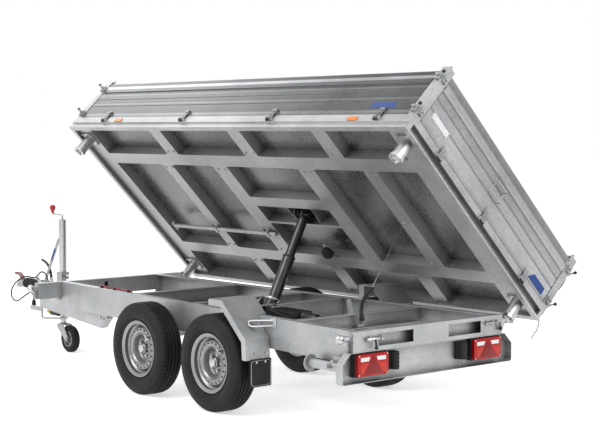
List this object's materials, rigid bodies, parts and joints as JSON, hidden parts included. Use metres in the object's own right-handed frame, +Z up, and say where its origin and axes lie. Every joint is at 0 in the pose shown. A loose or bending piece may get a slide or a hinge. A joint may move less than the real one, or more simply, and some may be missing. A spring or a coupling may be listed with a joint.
{
  "type": "three-way tipper trailer",
  "caption": "Galvanised tandem-axle three-way tipping trailer parked on its jockey wheel, bed raised to its right side by a telescopic ram, drop sides closed.",
  "frame": {"origin": "centre of the tow ball in the coupling head", "axes": "+X rearwards along the trailer, +Y to the trailer's right, +Z up"},
  "size_m": [5.282, 2.1473, 2.2504],
  "materials": {
    "galv": "hot-dip galvanised, dull grey",
    "galv_bright": "pre-galvanised sheet, light grey",
    "black_rubber": "matt black rubber",
    "black_plastic": "matt black",
    "tyre": "black tyre rubber",
    "rim_silver": "silver paint",
    "ram_black": "satin black paint",
    "lamp_red": "red lens",
    "reflector_orange": "orange lens"
  },
  "bodies": {
    "chassis": {"rail_left": "galv", "rail_right": "galv", "front_crossmember": "galv", "mid_crossmembers": "galv", "rear_crossmember": "galv", "drawbar": "galv", "overrun_device": "galv_bright", "coupling_head": "galv_bright", "handbrake": "galv", "jockey_post": "galv", "axle_beams": "galv", "swing_arms": "galv", "ram_cradle": "galv", "power_pack": "black_plastic", "fenders": "galv", "mudflaps": "black_rubber", "light_board": "galv", "tail_lamps": "lamp_red", "bump_blocks": "black_rubber", "support_legs": "galv", "tip_balls": "galv_bright", "lead": "black_plastic", "lead_plug": "black_plastic"},
    "jockey_swivel_body": {"jockey_fork": "galv"},
    "jockey_wheel": {"jockey_rim": "rim_silver", "jockey_tyre": "tyre"},
    "wheel_front_left": {"rim_front_left": "rim_silver", "tyre_front_left": "tyre"},
    "wheel_front_right": {"rim_front_right": "rim_silver", "tyre_front_right": "tyre"},
    "wheel_rear_left": {"rim_rear_left": "rim_silver", "tyre_rear_left": "tyre"},
    "wheel_rear_right": {"rim_rear_right": "rim_silver", "tyre_rear_right": "tyre"},
    "ram": {"ram_barrel": "ram_black"},
    "ram_first": {"ram_stage": "ram_black"},
    "ram_second": {"ram_rod": "ram_black"},
    "bed": {"bed_floor": "galv", "bed_long_beams": "galv_bright", "bed_cross_beams": "galv_bright", "bed_trim": "galv", "front_wall": "galv_bright", "corner_posts": "galv", "ball_cups": "galv_bright", "ram_bracket": "ram_black", "stowed_bar": "galv", "reflectors": "reflector_orange"},
    "gate_left": {"side_left": "galv_bright"},
    "gate_right": {"side_right": "galv_bright"},
    "gate_rear": {"tailgate": "galv_bright"}
  },
  "joints": [
    {"name": "bed_tip", "type": "hinge", "parent": "chassis", "child": "bed", "pos_m": [3.27, 0.74, 0.14], "axis": [-1, 0, 0], "range_deg": [-46, 0]},
    {"name": "gate_left_hinge", "type": "hinge", "parent": "bed", "child": "gate_left", "pos_m": [3.27, -0.26019, 1.46651], "axis": [-1, 0, 0], "range_deg": [-180, 0]},
    {"name": "gate_right_hinge", "type": "hinge", "parent": "bed", "child": "gate_right", "pos_m": [3.27, 1.0027, 0.15875], "axis": [1, 0, 0], "range_deg": [-134, 0]},
    {"name": "gate_rear_hinge", "type": "hinge", "parent": "bed", "child": "gate_rear", "pos_m": [5.214, 0.37126, 0.81263], "axis": [0, -0.6947, 0.7193], "range_deg": [-180, 0]},
    {"name": "ram_swing", "type": "hinge", "parent": "chassis", "child": "ram", "pos_m": [3.462, 0.07, 0.14], "axis": [-1, 0, 0], "range_deg": [-36, 0]},
    {"name": "ram_extend_1", "type": "slide", "parent": "ram", "child": "ram_first", "axis": [0, 0.446, 0.895], "range_m": [-0.2602, 0]},
    {"name": "ram_extend_2", "type": "slide", "parent": "ram_first", "child": "ram_second", "axis": [0, 0.446, 0.895], "range_m": [-0.2602, 0]},
    {"name": "jockey_swivel", "type": "hinge", "parent": "chassis", "child": "jockey_swivel_body", "pos_m": [0.933, -0.125, -0.24], "axis": [0, 0, 1], "continuous": true},
    {"name": "jockey_roll", "type": "hinge", "parent": "jockey_swivel_body", "child": "jockey_wheel", "pos_m": [1.043, -0.125, -0.3575], "axis": [0, 1, 0], "continuous": true},
    {"name": "spin_front_left", "type": "hinge", "parent": "chassis", "child": "wheel_front_left", "pos_m": [3.05, -0.725, -0.145], "axis": [0, 1, 0], "continuous": true},
    {"name": "spin_front_right", "type": "hinge", "parent": "chassis", "child": "wheel_front_right", "pos_m": [3.05, 0.725, -0.145], "axis": [0, 1, 0], "continuous": true},
    {"name": "spin_rear_left", "type": "hinge", "parent": "chassis", "child": "wheel_rear_left", "pos_m": [3.88, -0.725, -0.145], "axis": [0, 1, 0], "continuous": true},
    {"name": "spin_rear_right", "type": "hinge", "parent": "chassis", "child": "wheel_rear_right", "pos_m": [3.88, 0.725, -0.145], "axis": [0, 1, 0], "continuous": true}
  ],
  "couplings": [
    {"joint": "ram_swing", "follows": "bed_tip", "ratio": 0.78151},
    {"joint": "ram_extend_1", "follows": "bed_tip", "m_per_rad": 0.32373},
    {"joint": "ram_extend_2", "follows": "bed_tip", "m_per_rad": 0.32373}
  ]
}
